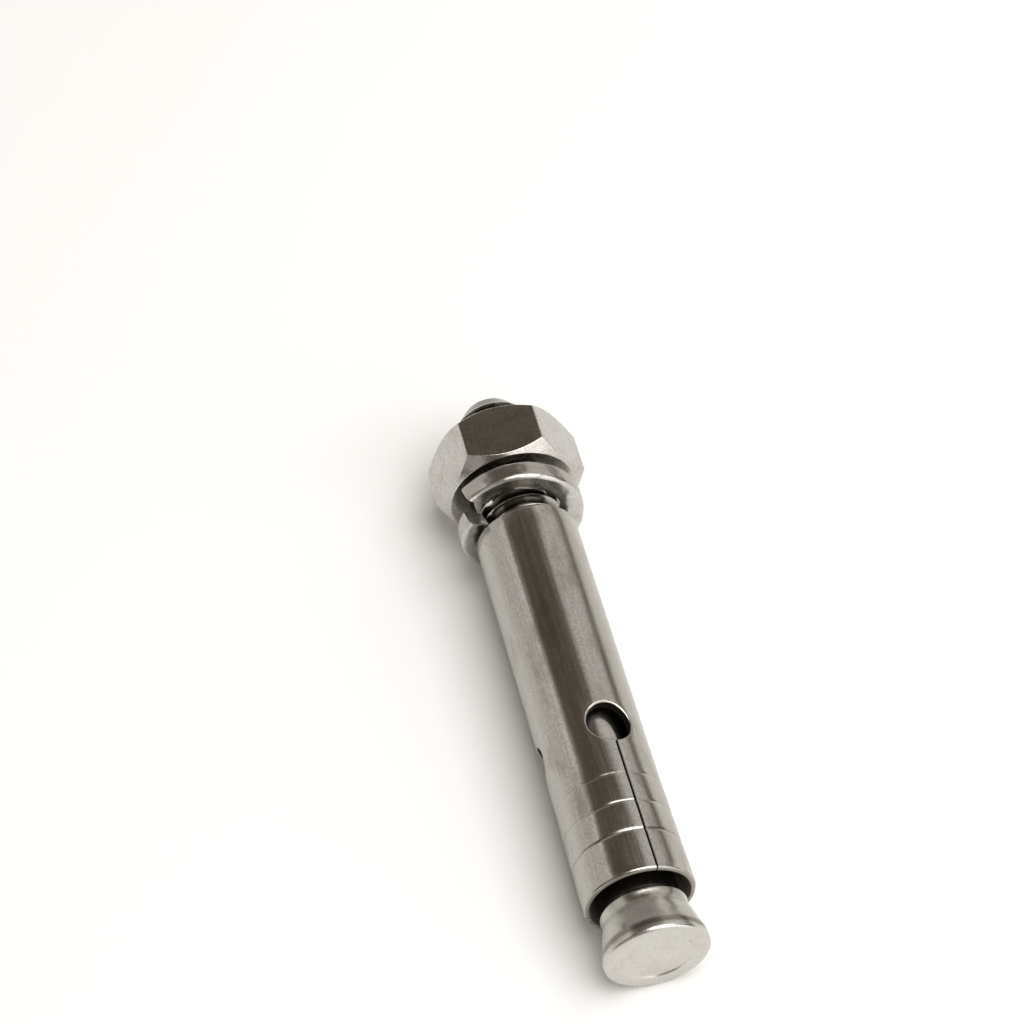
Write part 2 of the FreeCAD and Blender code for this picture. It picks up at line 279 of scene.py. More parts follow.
def thread_tree():
    """Screw thread wound about the axis and joined to the rest of its piece.

    The rows of the grid follow the helix, so crest and root stay crisp. Rows past
    either end are pressed flat onto it and merged. Side is 1 for a stud and -1
    for a nut, whose end cones cut the thread from the other side.
    """
    sizes = ["Crest", "Root", "Pitch", "Start", "End", "Start radius", "Start slope",
             "End radius", "End slope", "Fade length", "Side", "First row", "Rows length",
             "Number of columns", "Number of rows"]
    tree, start = new_tree("wound_thread", sizes)
    known = {name: start.outputs[name] for name in sizes}
    grid = node(tree, "GeometryNodeMeshGrid", {
        "Size X": 1.0, "Size Y": 1.0,
        "Vertices X": known["Number of columns"], "Vertices Y": known["Number of rows"]})
    spot = node(tree, "ShaderNodeSeparateXYZ", {0: node(tree, "GeometryNodeInputPosition")})
    known.update({"x": spot.outputs[0], "y": spot.outputs[1]})
    worked_out(tree, known, [
        ("turn", "ADD", "x", 0.5),
        ("row", "ADD", "y", 0.5),
        ("wound", "MULTIPLY", "turn", "Pitch"),
        ("risen", "MULTIPLY_ADD", "row", "Rows length", "wound"),
        ("free", "ADD", "risen", "First row"),
        ("not past", "MINIMUM", "free", "End"),
        ("station", "MAXIMUM", "not past", "Start"),
        # Height of the tooth: crest flat of an eighth and root flat of a quarter pitch
        ("pitches", "DIVIDE", "station", "Pitch"),
        ("phase", "SUBTRACT", "pitches", "turn"),
        ("part", "FRACT", "phase"),
        ("off", "SUBTRACT", "part", 0.5),
        ("far", "ABSOLUTE", "off"),
        ("raised", "SUBTRACT", "far", 0.125),
        ("steep", "DIVIDE", "raised", 0.3125),
        ("low", "MAXIMUM", "steep", 0.0),
        ("tooth", "MINIMUM", "low", 1.0),
        ("deep", "SUBTRACT", "Crest", "Root"),
        ("full", "MULTIPLY_ADD", "tooth", "deep", "Root"),
        # The thread fades in from the start radius, then the end cones cut it
        ("come", "SUBTRACT", "station", "Start"),
        ("gone", "SUBTRACT", "End", "station"),
        ("share", "DIVIDE", "come", "Fade length"),
        ("faded", "MINIMUM", "share", 1.0),
        ("grown", "SUBTRACT", "full", "Start radius"),
        ("soft", "MULTIPLY_ADD", "grown", "faded", "Start radius"),
        ("near cone", "MULTIPLY_ADD", "come", "Start slope", "Start radius"),
        ("far cone", "MULTIPLY_ADD", "gone", "End slope", "End radius"),
        ("a", "MULTIPLY", "soft", "Side"),
        ("b", "MULTIPLY", "near cone", "Side"),
        ("c", "MULTIPLY", "far cone", "Side"),
        ("ab", "MINIMUM", "a", "b"),
        ("abc", "MINIMUM", "ab", "c"),
        ("radius", "MULTIPLY", "abc", "Side"),
        ("angle", "MULTIPLY", "turn", math.tau),
        ("sine", "SINE", "angle"),
        ("cosine", "COSINE", "angle"),
        ("x place", "MULTIPLY", "radius", "sine"),
        ("z place", "MULTIPLY", "radius", "cosine"),
    ])
    place = node(tree, "ShaderNodeCombineXYZ", {
        "X": known["x place"], "Y": known["station"], "Z": known["z place"]})
    wound = node(tree, "GeometryNodeSetPosition", {
        "Geometry": grid.outputs["Mesh"], "Position": place})
    whole = node(tree, "GeometryNodeJoinGeometry", {0: wound})
    tree.links.new(start.outputs["Geometry"], whole.inputs[0])
    end_tree(tree, start, whole)
    return tree


def thread_sizes(crest, root, first, last, first_cone, last_cone, fade, side):
    """Sizes of a thread whose grid has 16 rows to a pitch, two of them on each flat."""
    row_start = PITCH * (math.floor(first / PITCH) - 1)
    turns = math.ceil((last - row_start) / PITCH) + 1
    return {
        "Crest": crest, "Root": root, "Pitch": PITCH, "Start": first, "End": last,
        "Start radius": first_cone[0], "Start slope": first_cone[1],
        "End radius": last_cone[0], "End slope": last_cone[1],
        "Fade length": fade, "Side": side, "First row": row_start,
        "Rows length": turns * PITCH,
        "Number of columns": AROUND + 1, "Number of rows": turns * 16 + 1,
    }


def wire_tree():
    """Rounded square wire wound one turn to the left, with slanted, crumpled ends."""
    sizes = ["Bore", "Section", "Round", "Rise", "Low end", "Wound angle", "Gap angle",
             "Cut slope", "Crumple", "Number around", "Number along", "Cap share"]
    tree, start = new_tree("wound_wire", sizes)
    known = {name: start.outputs[name] for name in sizes}
    grid = node(tree, "GeometryNodeMeshGrid", {
        "Size X": 1.0, "Size Y": 1.0,
        "Vertices X": known["Number around"], "Vertices Y": known["Number along"]})
    spot = node(tree, "ShaderNodeSeparateXYZ", {0: node(tree, "GeometryNodeInputPosition")})
    known.update({"x": spot.outputs[0], "y": spot.outputs[1]})
    worked_out(tree, known, [
        # Rounded square section: a point on a wide circle, drawn in to the square
        ("half", "MULTIPLY", "Section", 0.5),
        ("flat", "SUBTRACT", "half", "Round"),
        ("minus flat", "MULTIPLY", "flat", -1.0),
        ("reach", "MULTIPLY", "half", 1.5),
        ("bend", "MULTIPLY", "x", math.tau),
        ("cos", "COSINE", "bend"),
        ("sin", "SINE", "bend"),
        ("wide out", "MULTIPLY", "cos", "reach"),
        ("wide up", "MULTIPLY", "sin", "reach"),
        ("out 1", "MINIMUM", "wide out", "flat"),
        ("core out", "MAXIMUM", "out 1", "minus flat"),
        ("up 1", "MINIMUM", "wide up", "flat"),
        ("core up", "MAXIMUM", "up 1", "minus flat"),
        ("way out", "SUBTRACT", "wide out", "core out"),
        ("way up", "SUBTRACT", "wide up", "core up"),
        ("way out 2", "MULTIPLY", "way out", "way out"),
        ("way 2", "MULTIPLY_ADD", "way up", "way up", "way out 2"),
        ("way", "SQRT", "way 2"),
        ("stretch", "DIVIDE", "Round", "way"),
        ("edge out", "MULTIPLY_ADD", "way out", "stretch", "core out"),
        ("edge up", "MULTIPLY_ADD", "way up", "stretch", "core up"),
        # Rows at each end close the section, the others follow the wire
        ("row", "ADD", "y", 0.5),
        ("row left", "SUBTRACT", 1.0, "row"),
        ("nearest", "MINIMUM", "row", "row left"),
        ("open", "DIVIDE", "nearest", "Cap share"),
        ("fill", "MINIMUM", "open", 1.0),
        ("out", "MULTIPLY", "edge out", "fill"),
        ("up", "MULTIPLY", "edge up", "fill"),
        ("from cap", "SUBTRACT", "row", "Cap share"),
        ("two caps", "MULTIPLY", "Cap share", -2.0),
        ("wire rows", "ADD", "two caps", 1.0),
        ("along 1", "DIVIDE", "from cap", "wire rows"),
        ("along 2", "MAXIMUM", "along 1", 0.0),
        ("along", "MINIMUM", "along 2", 1.0),
        ("mean", "ADD", "Bore", "half"),
        ("radius", "ADD", "mean", "out"),
        ("leant", "MULTIPLY", "up", "Cut slope"),
        ("lean", "DIVIDE", "leant", "radius"),
        ("angle", "MULTIPLY_ADD", "along", "Wound angle", "lean"),
        ("turned", "SUBTRACT", "Gap angle", "angle"),
        ("sine", "SINE", "turned"),
        ("cosine", "COSINE", "turned"),
        ("x place", "MULTIPLY", "radius", "sine"),
        ("z place", "MULTIPLY", "radius", "cosine"),
        ("part wound", "DIVIDE", "angle", "Wound angle"),
        ("risen", "MULTIPLY_ADD", "part wound", "Rise", "Low end"),
        ("station", "ADD", "risen", "up"),
        # Sheared ends: the last rows are torn by up to the crumple depth
        ("end 1", "MULTIPLY", "open", 0.42),
        ("end 2", "SUBTRACT", 1.35, "end 1"),
        ("end 3", "MAXIMUM", "end 2", 0.0),
        ("torn", "MINIMUM", "end 3", 1.0),
        ("torn depth", "MULTIPLY", "torn", "Crumple"),
    ])
    place = node(tree, "ShaderNodeCombineXYZ", {
        "X": known["x place"], "Y": known["station"], "Z": known["z place"]})
    wound = node(tree, "GeometryNodeSetPosition", {
        "Geometry": grid.outputs["Mesh"], "Position": place})
    noise = node(tree, "ShaderNodeTexNoise", {"Scale": 1.3, "Detail": 3.0, "Roughness": 0.6},
                 noise_dimensions="3D")
    around_zero = node(tree, "ShaderNodeVectorMath", {
        0: noise.outputs["Color"], 1: (0.5, 0.5, 0.5)}, operation="SUBTRACT")
    shift = node(tree, "ShaderNodeVectorMath", {0: around_zero, "Scale": known["torn depth"]},
                 operation="SCALE")
    torn = node(tree, "GeometryNodeSetPosition", {"Geometry": wound, "Offset": shift})
    end_tree(tree, start, torn)
    return tree


def srgb(code):
    """Linear colour of an sRGB hex value."""
    channels = [int(code[place:place + 2], 16) / 255 for place in (1, 3, 5)]
    linear = [c / 12.92 if c <= 0.04045 else ((c + 0.055) / 1.055) ** 2.4 for c in channels]
    return (*linear, 1.0)


def new_material(name):
    """Material with an empty tree of nodes."""
    made = bpy.data.materials.new(name)
    made.use_nodes = True
    made.node_tree.nodes.clear()
    return made, made.node_tree


def on_axis(tree):
    """Place in millimetres on the anchor's own axis, its station and its distance from the axis."""
    spot = node(tree, "ShaderNodeTexCoord").outputs["Object"]
    turned = node(tree, "ShaderNodeMapping", {
        0: spot, "Location": TO_ROW.translation, "Rotation": TO_ROW.to_euler()},
        vector_type="TEXTURE")
    place = node(tree, "ShaderNodeVectorMath", {0: turned, "Scale": 1000.0}, operation="SCALE")
    flat = node(tree, "ShaderNodeVectorMath", {0: place, 1: (1, 0, 1)}, operation="MULTIPLY")
    radius = node(tree, "ShaderNodeVectorMath", {0: flat}, operation="LENGTH")
    station = node(tree, "ShaderNodeSeparateXYZ", {0: place})
    return {"place": place, "radius": radius.outputs["Value"], "station": station.outputs[1]}


def pattern(tree, place, size, detail=2.0, rough=0.5, shift=0.0):
    """Noise whose features have the given size in mm across, along and up."""
    scaled = node(tree, "ShaderNodeVectorMath", {
        0: place, 1: [1 / one for one in size], 2: (shift, shift, shift)}, operation="MULTIPLY_ADD")
    return node(tree, "ShaderNodeTexNoise", {
        0: scaled, "Scale": 1.0, "Detail": detail, "Roughness": rough})


def coloured(tree, known, base, layers):
    """Lays colours over a base, each by the share that a named value gives."""
    colour = srgb(base)
    for share, over in layers:
        mixed = node(tree, "ShaderNodeMix", {0: known[share], 6: colour, 7: srgb(over)},
                     data_type="RGBA", blend_type="MIX")
        colour = mixed.outputs[2]
    return colour


def metal_surface(tree, known, colour, depth_mm):
    """Bare metal from its colour, roughness and a height whose full range is depth_mm."""
    bump = node(tree, "ShaderNodeBump", {
        "Strength": 1.0, "Distance": depth_mm / 1000, "Height": known["height"]})
    shader = node(tree, "ShaderNodeBsdfPrincipled", {
        "Base Color": colour, "Metallic": 1.0, "Roughness": known["roughness"], "Normal": bump})
    node(tree, "ShaderNodeOutputMaterial", {0: shader})


def sleeve_material():
    """Stainless strip, rolled round and tumbled.

    A soft grey gloss with fine lengthwise drawing marks and brownish handling
    smudges; the cut faces of slits and holes are rougher. Painted shade darkens
    those cut faces, the bore and the bottoms of the rolled grooves.
    """
    made, tree = new_material("stainless_strip_rolled_and_tumbled")
    known = on_axis(tree)
    place = known["place"]
    known.update({
        # Drawing marks are about 0.05 mm wide and drawn 0.24 mm wide, so that they show
        "marks": pattern(tree, place, (0.24, 11.0, 0.24), 2.0, 0.6),
        "bands": pattern(tree, place, (1.1, 30.0, 1.1), 2.0, 0.5, 7.0),
        "smudges": pattern(tree, place, (2.4, 6.0, 2.4), 3.0, 0.6, 3.0),
        # Tumbling grit of about 0.1 mm, drawn 0.2 mm wide
        "grit": pattern(tree, place, (0.20, 0.26, 0.20), 1.0, 0.5),
        # Dust specks of about 0.1 mm, drawn 0.3 mm wide
        "specks": pattern(tree, place, (0.30, 0.36, 0.30), 1.0, 0.5, 13.0),
    })
    worked_out(tree, known, [
        ("smudged", "SMOOTHSTEP", "smudges", 0.50, 0.72, 0.0, 0.65),
        ("banded", "SMOOTHSTEP", "bands", 0.50, 0.70, 0.0, 0.16),
        ("marked", "SMOOTHSTEP", "marks", 0.35, 0.65, 0.16, 0.0),
        ("gritty", "SMOOTHSTEP", "grit", 0.30, 0.70, 0.26, 0.0),
        ("speckled", "SMOOTHSTEP", "specks", 0.76, 0.82, 0.0, 0.6),
        # How deep a point lies below the outside of the wall
        ("from mouth", "SUBTRACT", "station", MOUTH_STATION),
        ("wall", "LINEAR", "from mouth", 0.0, SPREAD_LENGTH,
         SLEEVE_RADIUS + MOUTH_FLARE, SLEEVE_RADIUS),
        ("sunk", "SUBTRACT", "wall", "radius"),
        ("past lip", "SMOOTHSTEP", "from mouth", LIP_ROUND, LIP_ROUND + 0.3, 0.0, 1.0),
        # Painted shade: the bottoms of the rolled grooves are painted a little darker, and the sheared
        # faces of slits and holes and the bore, deeper in, much darker
        ("groove", "SMOOTHSTEP", "sunk", 0.03, 0.10, 0.0, 0.25),
        ("groove shade", "MULTIPLY", "groove", "past lip"),
        ("cut", "SMOOTHSTEP", "sunk", 0.12, 0.17, 0.0, 1.0),
        ("cut shade", "MULTIPLY", "cut", "past lip"),
        # Just inside the mouth the painted shade of the bore gives way to bare metal
        ("near mouth", "SMOOTHSTEP", "from mouth", 2.5, 4.5, 0.9, 0.0),
        ("in bore", "SMOOTHSTEP", "radius", SLEEVE_RADIUS - 0.22, SLEEVE_RADIUS - 0.12, 1.0, 0.0),
        ("bare", "MULTIPLY", "near mouth", "in bore"),
        # Satin all over, duller on smudges and rough where it was cut
        ("satin", "SMOOTHSTEP", "marks", 0.3, 0.7, 0.17, 0.21),
        ("duller", "MULTIPLY_ADD", "smudges", 0.10, "satin"),
        ("roughness", "MULTIPLY_ADD", "cut", 0.45, "duller"),
        ("height", "MULTIPLY_ADD", "grit", 0.35, "marks"),
    ])
    colour = coloured(tree, known, "#b6b3ac", [
        ("smudged", "#877f74"),
        ("banded", "#928b83"),
        ("marked", "#7c776f"),
        ("gritty", "#6f6a63"),
        ("speckled", "#5c554c"),
        # painted shade in the groove bottoms, and deep painted shade on the cut faces and in the bore
        ("groove shade", "#746a5f"),
        ("cut shade", "#26211d"),
        ("bare", "#a59f93"),
    ])
    metal_surface(tree, known, colour, depth_mm=0.0006)
    return made


def stud_material():
    """Stainless stud with a cold-headed cone and a rolled thread.

    Bright on the thread, satin with blotches on the neck, and a mottled end
    face with the small dents of the heading die. Painted shade darkens the
    thread's roots and the shank inside the sleeve's mouth, a painted dark
    reflection lies where the cone flares, and painted light brightens the end face.
    """
    made, tree = new_material("stainless_stud_cold_headed")
    known = on_axis(tree)
    place = known["place"]
    known.update({
        "blotches": pattern(tree, place, (1.5, 1.2, 1.5), 3.0, 0.6, 11.0),
        # Drawing marks of about 0.05 mm, drawn 0.3 mm wide
        "drawn": pattern(tree, place, (0.30, 5.0, 0.30), 2.0, 0.6),
        # Heading grain of about 0.1 mm, drawn 0.22 mm wide
        "grain": pattern(tree, place, (0.22, 0.22, 0.22), 2.0, 0.6),
        "dents": pattern(tree, place, (0.75, 0.75, 0.75), 2.0, 0.55, 5.0),
    })
    worked_out(tree, known, [
        ("blotched", "SMOOTHSTEP", "blotches", 0.50, 0.72, 0.0, 0.45),
        ("marked", "SMOOTHSTEP", "drawn", 0.35, 0.65, 0.18, 0.0),
        ("grainy", "SMOOTHSTEP", "grain", 0.30, 0.70, 0.16, 0.0),
        # Painted dark reflection where the cone flares to its rim
        ("past rim", "SMOOTHSTEP", "station", 0.65, 0.85, 0.0, 1.0),
        ("before neck", "SMOOTHSTEP", "station", 1.15, 1.5, 1.0, 0.0),
        ("flare", "MULTIPLY", "past rim", "before neck"),
        ("painted flare reflection", "MULTIPLY", "flare", 0.6),
        # Painted light: the end face is painted brighter than the rest
        ("end face", "SMOOTHSTEP", "station", 0.25, 0.75, 1.0, 0.0),
        ("painted sheen", "MULTIPLY", "end face", 0.6),
        # Painted shade in the root of the thread
        ("in root", "SMOOTHSTEP", "radius", ROOT_RADIUS, CREST_RADIUS - 0.06, 0.90, 0.0),
        ("threaded", "SMOOTHSTEP", "station", THREAD_START, THREAD_START + 1.0, 0.0, 1.0),
        ("root shade", "MULTIPLY", "in root", "threaded"),
        # Painted shade behind the shoulder, on the shank inside the mouth of the sleeve
        ("past shoulder", "SMOOTHSTEP", "station", SHOULDER_END - 0.12, SHOULDER_END, 0.0, 0.80),
        ("in mouth", "SMOOTHSTEP", "station", SHOULDER_END + 2.0, SHOULDER_END + 6.0, 1.0, 0.0),
        ("mouth shade", "MULTIPLY", "past shoulder", "in mouth"),
        # The headed end is duller than the shank and the thread
        ("headed", "SMOOTHSTEP", "station", SHOULDER_STATION, SHOULDER_END, 1.0, 0.0),
        ("satin", "SMOOTHSTEP", "blotches", 0.3, 0.7, 0.14, 0.24),
        ("roughness", "MULTIPLY_ADD", "headed", 0.10, "satin"),
        # The dents are pressed into the end face alone
        ("pressed", "MULTIPLY", "end face", 7.0),
        ("dented", "MULTIPLY", "dents", "pressed"),
        ("lined", "ADD", "drawn", "grain"),
        ("height", "ADD", "dented", "lined"),
    ])
    colour = coloured(tree, known, "#b9b7b0", [
        ("blotched", "#877f75"),
        ("marked", "#8b857d"),
        ("grainy", "#80796f"),
        # painted dark reflection where the cone flares
        ("painted flare reflection", "#564b40"),
        # painted light on the end face
        ("painted sheen", "#d2cfca"),
        # painted shade in the thread roots
        ("root shade", "#3a332d"),
        # painted shade on the shank inside the sleeve's mouth
        ("mouth shade", "#201c18"),
    ])
    metal_surface(tree, known, colour, depth_mm=0.0012)
    return made


def nut_material():
    """Cold-formed stainless hexagon: satin flats with a fine grain, slightly smoother formed chamfers
    painted lighter as a painted highlight.
    """
    made, tree = new_material("stainless_hexagon_cold_formed")
    known = on_axis(tree)
    place = known["place"]
    known.update({
        # Die grain of about 0.1 mm, drawn 0.19 mm wide
        "grain": pattern(tree, place, (0.19, 0.19, 0.19), 1.5, 0.6),
        "clouds": pattern(tree, place, (2.2, 2.2, 2.2), 3.0, 0.6, 9.0),
        "rubbed": pattern(tree, place, (0.5, 3.5, 0.5), 2.0, 0.6, 4.0),
    })
    chamfer_slope = 0.9
    chamfer_edge = NUT_HEIGHT / 2 + chamfer_slope * NUT_FACE_RADIUS
    worked_out(tree, known, [
        ("clouded", "SMOOTHSTEP", "clouds", 0.48, 0.72, 0.0, 0.35),
        ("streaked", "SMOOTHSTEP", "rubbed", 0.40, 0.70, 0.16, 0.0),
        ("grainy", "SMOOTHSTEP", "grain", 0.28, 0.72, 0.42, 0.0),
        # The chamfers lie beyond a cone about the axis, the same at both faces
        ("from middle", "SUBTRACT", "station", NUT_STATION + NUT_HEIGHT / 2),
        ("either side", "ABSOLUTE", "from middle"),
        ("slanted", "MULTIPLY", "radius", chamfer_slope),
        ("outward", "ADD", "either side", "slanted"),
        ("formed", "SMOOTHSTEP", "outward", chamfer_edge - 0.05, chamfer_edge + 0.1, 0.0, 1.0),
        # Painted highlight: the chamfers are painted lighter
        ("painted sheen", "MULTIPLY", "formed", 0.25),
        ("satin", "SMOOTHSTEP", "clouds", 0.3, 0.7, 0.17, 0.23),
        ("roughness", "MULTIPLY_ADD", "formed", -0.03, "satin"),
        ("height", "MULTIPLY_ADD", "clouds", 2.0, "grain"),
    ])
    colour = coloured(tree, known, "#cbc8c4", [
        ("clouded", "#a39c93"),
        ("streaked", "#8f8880"),
        ("grainy", "#7b746b"),
        # painted highlight on the chamfers
        ("painted sheen", "#dcd9d4"),
    ])
    metal_surface(tree, known, colour, depth_mm=0.0012)
    return made


def washer_material():
    """Stainless spring wire, coiled and sheared: a drawn satin outer side in painted shade, and bright
    rounded edges.
    """
    made, tree = new_material("stainless_spring_wire_coiled")
    known = on_axis(tree)
    place = known["place"]
    known.update({
        "blotches": pattern(tree, place, (1.3, 0.8, 1.3), 3.0, 0.6, 2.0),
        # Wire-drawing marks run along the coil, so they are bands of equal height. They
        # are about 0.05 mm wide and drawn 0.2 mm wide
        "lines": pattern(tree, place, (3.0, 0.20, 3.0), 2.0, 0.5),
        # Grain of about 0.1 mm, drawn 0.2 mm wide
        "grain": pattern(tree, place, (0.2, 0.2, 0.2), 1.5, 0.6),
    })
    outside = WASHER_BORE + WASHER_SECTION
    worked_out(tree, known, [
        ("blotched", "SMOOTHSTEP", "blotches", 0.46, 0.70, 0.0, 0.40),
        ("side", "SMOOTHSTEP", "radius", outside - 0.06, outside - 0.01, 0.0, 1.0),
        # Painted shade: the outer side of the wire is painted darker
        ("side shade", "MULTIPLY", "side", 0.55),
        ("lined", "SMOOTHSTEP", "lines", 0.35, 0.65, 0.20, 0.0),
        ("grainy", "SMOOTHSTEP", "grain", 0.30, 0.70, 0.16, 0.0),
        ("roughness", "SMOOTHSTEP", "blotches", 0.3, 0.7, 0.26, 0.32),
        ("height", "MULTIPLY_ADD", "grain", 0.5, "lines"),
    ])
    colour = coloured(tree, known, "#ceccc8", [
        ("blotched", "#9f988f"),
        # painted shade on the outer side
        ("side shade", "#948c82"),
        ("lined", "#8b857d"),
        ("grainy", "#7d776f"),
    ])
    metal_surface(tree, known, colour, depth_mm=0.0012)
    return made


sleeve_steel = sleeve_material()
stud_steel = stud_material()
nut_steel = nut_material()
washer_steel = washer_material()


def eased(points, count):
    """Smooth line through outline points (a natural cubic spline by distance)."""
    spans = [math.dist(points[i], points[i + 1]) for i in range(len(points) - 1)]
    knots = [sum(spans[:i]) for i in range(len(points))]
    columns = []
    for axis in (0, 1):
        values = [p[axis] for p in points]
        size = len(values)
        lower = [0.0] * size
        bend = [0.0] * size
        for i in range(1, size - 1):
            after = (values[i + 1] - values[i]) / spans[i]
            before = (values[i] - values[i - 1]) / spans[i - 1]
            pivot = 2 * (spans[i - 1] + spans[i]) - spans[i - 1] * lower[i - 1]
            lower[i] = spans[i] / pivot
            bend[i] = (6 * (after - before) - spans[i - 1] * bend[i - 1]) / pivot
        for i in range(size - 2, 0, -1):
            bend[i] -= lower[i] * bend[i + 1]
        column = []
        for step in range(count + 1):
            t = knots[-1] * step / count
            i = max(k for k in range(size - 1) if knots[k] <= t + 1e-9)
            h, a, b = spans[i], knots[i + 1] - t, t - knots[i]
            column.append((bend[i] * a ** 3 + bend[i + 1] * b ** 3) / (6 * h)
                          + (values[i] / h - bend[i] * h / 6) * a
                          + (values[i + 1] / h - bend[i + 1] * h / 6) * b)
        columns.append(column)
    return list(zip(*columns))


def turned_shell(outline, name):
    """Surface turned from an outline of radius and station; radius 0 is a pole."""
    points, rows, faces = [], [], []
    for radius, station in outline:
        if radius < 1e-6:
            rows.append([len(points)] * AROUND)
            points.append((0.0, station, 0.0))
            continue
        rows.append(list(range(len(points), len(points) + AROUND)))
        points += [polar(radius, math.tau * k / AROUND, station) for k in range(AROUND)]
    for low, high in zip(rows, rows[1:]):
        for k in range(AROUND):
            corners = [low[k], low[(k + 1) % AROUND], high[(k + 1) % AROUND], high[k]]
            faces.append(list(dict.fromkeys(corners)))
    return made_mesh(points, faces, name)


def cone_outline():
    """Outline of the cone end and the plain shank, from the dish to the thread."""
    dish_floor = DISH_RADIUS - DISH_SIDE
    outline = [(dish_floor * share, DISH_DEPTH) for share in (0, 0.3, 0.6, 0.85, 1)]
    # Sloping side of the dish, eased into its floor and into the flat end face
    outline += [
        (DISH_RADIUS - 0.20, DISH_DEPTH - 0.01),
        (DISH_RADIUS - 0.10, DISH_DEPTH - 0.05),
        (DISH_RADIUS - 0.01, 0.04),
        (DISH_RADIUS + 0.06, 0.005),
        (DISH_RADIUS + 0.20, 0.0),
        (DISH_RADIUS + 0.50, 0.0),
    ]
    # Small round of the end face, barrel of the rim, straight flare and waist
    outline += eased([
        (CONE_FACE_RADIUS, 0.0),
        (CONE_FACE_RADIUS + 0.29, 0.015),
        (CONE_FACE_RADIUS + 0.50, 0.06),
        (CONE_RADIUS - RIM_FALL, 0.17),
        (CONE_RADIUS, CONE_BARREL),
        (CONE_RADIUS - RIM_FALL, 2 * CONE_BARREL + 0.1),
        (FLARE_TOP_RADIUS, FLARE_TOP),
        (FLARE_TOP_RADIUS - 0.42, FLARE_TOP + 1.45),
        (NECK_RADIUS, NECK_STATION),
        (SHOULDER_RADIUS, SHOULDER_STATION),
    ], 56)
    # Quarter round behind the shoulder, then the shank
    swell = SHOULDER_RADIUS - SHANK_RADIUS
    shoulder = SHOULDER_END - SHOULDER_STATION
    for step in range(1, 7):
        turn = math.pi / 2 * step / 6
        outline.append((SHANK_RADIUS + swell * math.cos(turn),
                        SHOULDER_STATION + shoulder * math.sin(turn)))
    run = THREAD_START - RUNOUT_LENGTH - SHOULDER_END
    outline += [(SHANK_RADIUS, SHOULDER_END + run * share) for share in (0.02, 0.25, 0.5, 0.75, 1.0)]
    return outline


def tip_outline():
    """Outline of the flat end face at the tip."""
    tip = CREST_RADIUS - TIP_STEP
    return [(tip * share, STUD_LENGTH) for share in (1, 0.95, 0.66, 0.33, 0)]


winder = thread_tree()
repeater = ring_tree()


def joined(first, second, name):
    """Both meshes as one."""
    both = bmesh.new()
    both.from_mesh(first)
    both.from_mesh(second)
    mesh = bpy.data.meshes.new(name)
    both.to_mesh(mesh)
    both.free()
    return mesh


stud_ends = joined(turned_shell(cone_outline(), "cone_end"),
                   turned_shell(tip_outline(), "tip_end"), "stud_ends")
stud_mesh = grown(winder, stud_ends, thread_sizes(
    CREST_RADIUS, ROOT_RADIUS, THREAD_START - RUNOUT_LENGTH, STUD_LENGTH,
    (SHANK_RADIUS, (CREST_RADIUS - SHANK_RADIUS) / RUNOUT_LENGTH),
    (CREST_RADIUS - TIP_STEP, TIP_STEP / TIP_TAPER), THREAD_FADE, 1.0), stud_steel)
in_place(closed(stud_mesh), "cone_stud", "stud", "stud_steel", "cone_bolt")


def softened(outline, radii, steps=4):
    """Outline with each inner corner replaced by a short curve of the given reach."""
    result = [outline[0]]
    for before, corner, after, reach in zip(outline, outline[1:], outline[2:], radii):
        here = Vector(corner)
        back = Vector(before) - here
        on = Vector(after) - here
        first = here + back.normalized() * min(reach, back.length * 0.45)
        last = here + on.normalized() * min(reach, on.length * 0.45)
        for step in range(steps + 1):
            t = step / steps
            spot = first * (1 - t) ** 2 + here * 2 * t * (1 - t) + last * t ** 2
            result.append(tuple(spot))
    result.append(outline[-1])
    return result


def nut_flat_sector():
    """One sixth of the nut: a flat with its two half corners and both chamfers."""
    flat = ACROSS_FLATS / 2
    corner = math.radians(30)
    # Rounded corner, drawn as an arc that touches both flats
    to_centre = (flat - NUT_CORNER_ROUND) / math.cos(corner)
    centre_x, centre_z = to_centre * math.sin(corner), to_centre * math.cos(corner)
    half = [(centre_x * step / 5, flat) for step in range(6)]
    for step in range(1, 4):
        turn = corner * step / 3
        half.append((centre_x + NUT_CORNER_ROUND * math.sin(turn),
                     centre_z + NUT_CORNER_ROUND * math.cos(turn)))
    across = [(-x, z) for x, z in reversed(half[1:])] + half
    slope = math.tan(math.radians(NUT_CHAMFER_ANGLE))
    columns = []
    for number, (x, z) in enumerate(across):
        angle = math.atan2(x, z)
        reach = math.hypot(x, z)
        drop = (reach - NUT_FACE_RADIUS) * slope
        bore_angle = math.radians(-30 + 60 * number / (len(across) - 1))
        # Half of the outline at this column, with its two edges broken by 0.06 and 0.03 mm
        near = softened([
            (NUT_FACE_RADIUS - 0.6, 0.0),
            (NUT_FACE_RADIUS, 0.0),
            (reach, drop),
            (reach, NUT_HEIGHT / 2),
        ], (0.06, 0.03))
        far = [(radius, NUT_HEIGHT - station) for radius, station in reversed(near)]
        column = [polar(NUT_COUNTERSINK_RADIUS, bore_angle, NUT_STATION)]
        column += [polar(radius, angle, NUT_STATION + station) for radius, station in near + far[1:]]
        column.append(polar(NUT_COUNTERSINK_RADIUS, bore_angle, NUT_STATION + NUT_HEIGHT))
        columns.append(column)
    points = [point for column in columns for point in column]
    rows = len(columns[0])
    faces = []
    for c in range(len(columns) - 1):
        for r in range(rows - 1):
            a = c * rows + r
            faces.append([a, a + rows, a + rows + 1, a + 1])
    return made_mesh(points, faces, "nut_sector")


